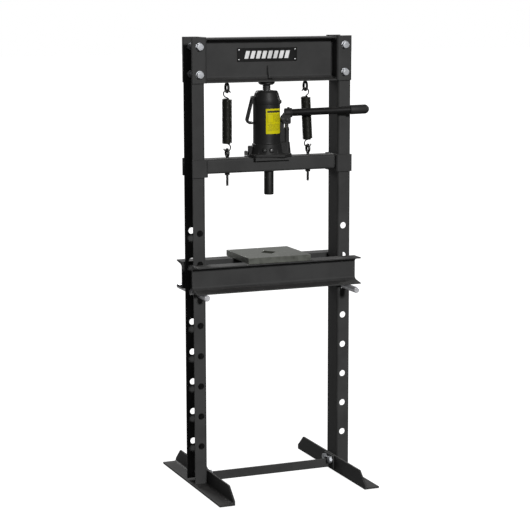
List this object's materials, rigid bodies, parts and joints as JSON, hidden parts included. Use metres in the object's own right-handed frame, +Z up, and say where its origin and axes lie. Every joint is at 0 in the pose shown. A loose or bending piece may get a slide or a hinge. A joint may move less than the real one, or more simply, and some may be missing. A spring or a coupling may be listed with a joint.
{
  "type": "hydraulic shop press",
  "caption": "H-frame hydraulic shop press with a bottle jack on a spring-returned beam, a pinned height-adjustable bed and loose arbor plates.",
  "frame": {"origin": "on the floor, midway between the two uprights and midway between the ends of the feet", "axes": "+Z up, +X to the right as seen from the front, front at -Y"},
  "size_m": [0.5409, 0.49, 1.303],
  "materials": {
    "frame": "satin",
    "zinc": "satin",
    "plate": "satin",
    "spring_steel": "satin",
    "ram_steel": "satin",
    "jack_paint": "satin",
    "polished": "polished",
    "rubber": "matte",
    "label": "gloss",
    "arbor": "satin"
  },
  "bodies": {
    "frame": {"left_upright": "frame", "right_upright": "frame", "left_foot": "frame", "right_foot": "frame", "foot_brace": "frame", "foot_bolts": "zinc", "foot_washers": "zinc", "foot_nuts": "zinc", "head_beam": "frame", "head_left_bracket": "frame", "head_right_bracket": "frame", "head_gussets": "frame", "head_bolts": "zinc", "head_washers": "zinc", "head_nuts": "zinc", "name_plate": "plate", "name_plate_rivets": "zinc", "spring_hangers": "frame", "left_spring": "spring_steel", "right_spring": "spring_steel"},
    "press_beam": {"moving_beam": "frame", "beam_left_bracket": "frame", "beam_right_bracket": "frame", "jack_ledges": "frame", "press_ram": "ram_steel", "beam_eye_bolts": "spring_steel", "eye_bolt_washers": "spring_steel", "eye_bolt_nuts": "spring_steel", "jack_base": "jack_paint", "jack_tank": "jack_paint", "jack_cylinder": "ram_steel", "jack_cap": "jack_paint", "filler_plug": "rubber", "pump_cylinder": "jack_paint", "pump_bracket": "jack_paint", "lever_pivot_pin": "zinc", "carry_handle_lug": "jack_paint", "jack_label": "label"},
    "piston": {"jack_piston": "polished"},
    "screw": {"extension_screw": "ram_steel"},
    "lever": {"pump_lever": "jack_paint"},
    "plunger": {"pump_plunger": "polished", "plunger_pin": "zinc"},
    "handle": {"handle_tube": "jack_paint", "handle_grip": "rubber"},
    "valve": {"release_valve": "zinc"},
    "bail": {"carry_handle": "jack_paint"},
    "bed": {"bed_front_channel": "frame", "bed_rear_channel": "frame", "bed_spacers": "frame"},
    "left_plate": {"left_arbor_plate": "arbor"},
    "right_plate": {"right_arbor_plate": "arbor"},
    "left_pin": {"left_bed_pin": "zinc"},
    "right_pin": {"right_bed_pin": "zinc"}
  },
  "joints": [
    {"name": "press_beam_slide", "type": "slide", "parent": "frame", "child": "press_beam", "axis": [0, 0, -1], "range_m": [0, 0.12], "stiffness_N_per_m": 1600, "springref_m": -0.16, "deforming": ["left_spring", "right_spring"]},
    {"name": "jack_piston_slide", "type": "slide", "parent": "press_beam", "child": "piston", "axis": [0, 0, 1], "range_m": [0, 0.12]},
    {"name": "extension_screw_slide", "type": "slide", "parent": "piston", "child": "screw", "axis": [0, 0, 1], "range_m": [-0.014, 0]},
    {"name": "pump_lever_pivot", "type": "hinge", "parent": "press_beam", "child": "lever", "pos_m": [0.04015, -0.01178, 1.064], "axis": [-0.2588, -0.9659, 0], "range_deg": [-20, 20]},
    {"name": "pump_plunger_slide", "type": "slide", "parent": "press_beam", "child": "plunger", "axis": [0, 0, 1], "range_m": [-0.0046, 0.0046]},
    {"name": "handle_pull", "type": "slide", "parent": "lever", "child": "handle", "axis": [0.9653, -0.2586, 0.0366], "range_m": [0, 0.06]},
    {"name": "release_valve_turn", "type": "hinge", "parent": "press_beam", "child": "valve", "pos_m": [-0.05693, 0.01423, 0.9675], "axis": [0.9659, -0.2588, 0], "range_deg": [0, 270]},
    {"name": "carry_handle_hinge", "type": "hinge", "parent": "press_beam", "child": "bail", "pos_m": [-0.04369, 0.01069, 1.128], "axis": [0.2588, 0.9659, 0], "range_deg": [0, 110]},
    {"name": "bed_lift", "type": "slide", "parent": "frame", "child": "bed", "axis": [0, 0, 1], "range_m": [0, 0.045]},
    {"name": "left_plate_slide", "type": "slide", "parent": "bed", "child": "left_plate", "axis": [-1, 0, 0], "range_m": [0, 0.09]},
    {"name": "right_plate_slide", "type": "slide", "parent": "bed", "child": "right_plate", "axis": [1, 0, 0], "range_m": [0, 0.09]},
    {"name": "left_pin_slide", "type": "slide", "parent": "frame", "child": "left_pin", "axis": [0, -1, 0], "range_m": [0, 0.235]},
    {"name": "right_pin_slide", "type": "slide", "parent": "frame", "child": "right_pin", "axis": [0, -1, 0], "range_m": [0, 0.17]}
  ],
  "couplings": [
    {"joint": "jack_piston_slide", "follows": "press_beam_slide", "ratio": 1},
    {"joint": "pump_plunger_slide", "follows": "pump_lever_pivot", "m_per_rad": 0.013}
  ]
}
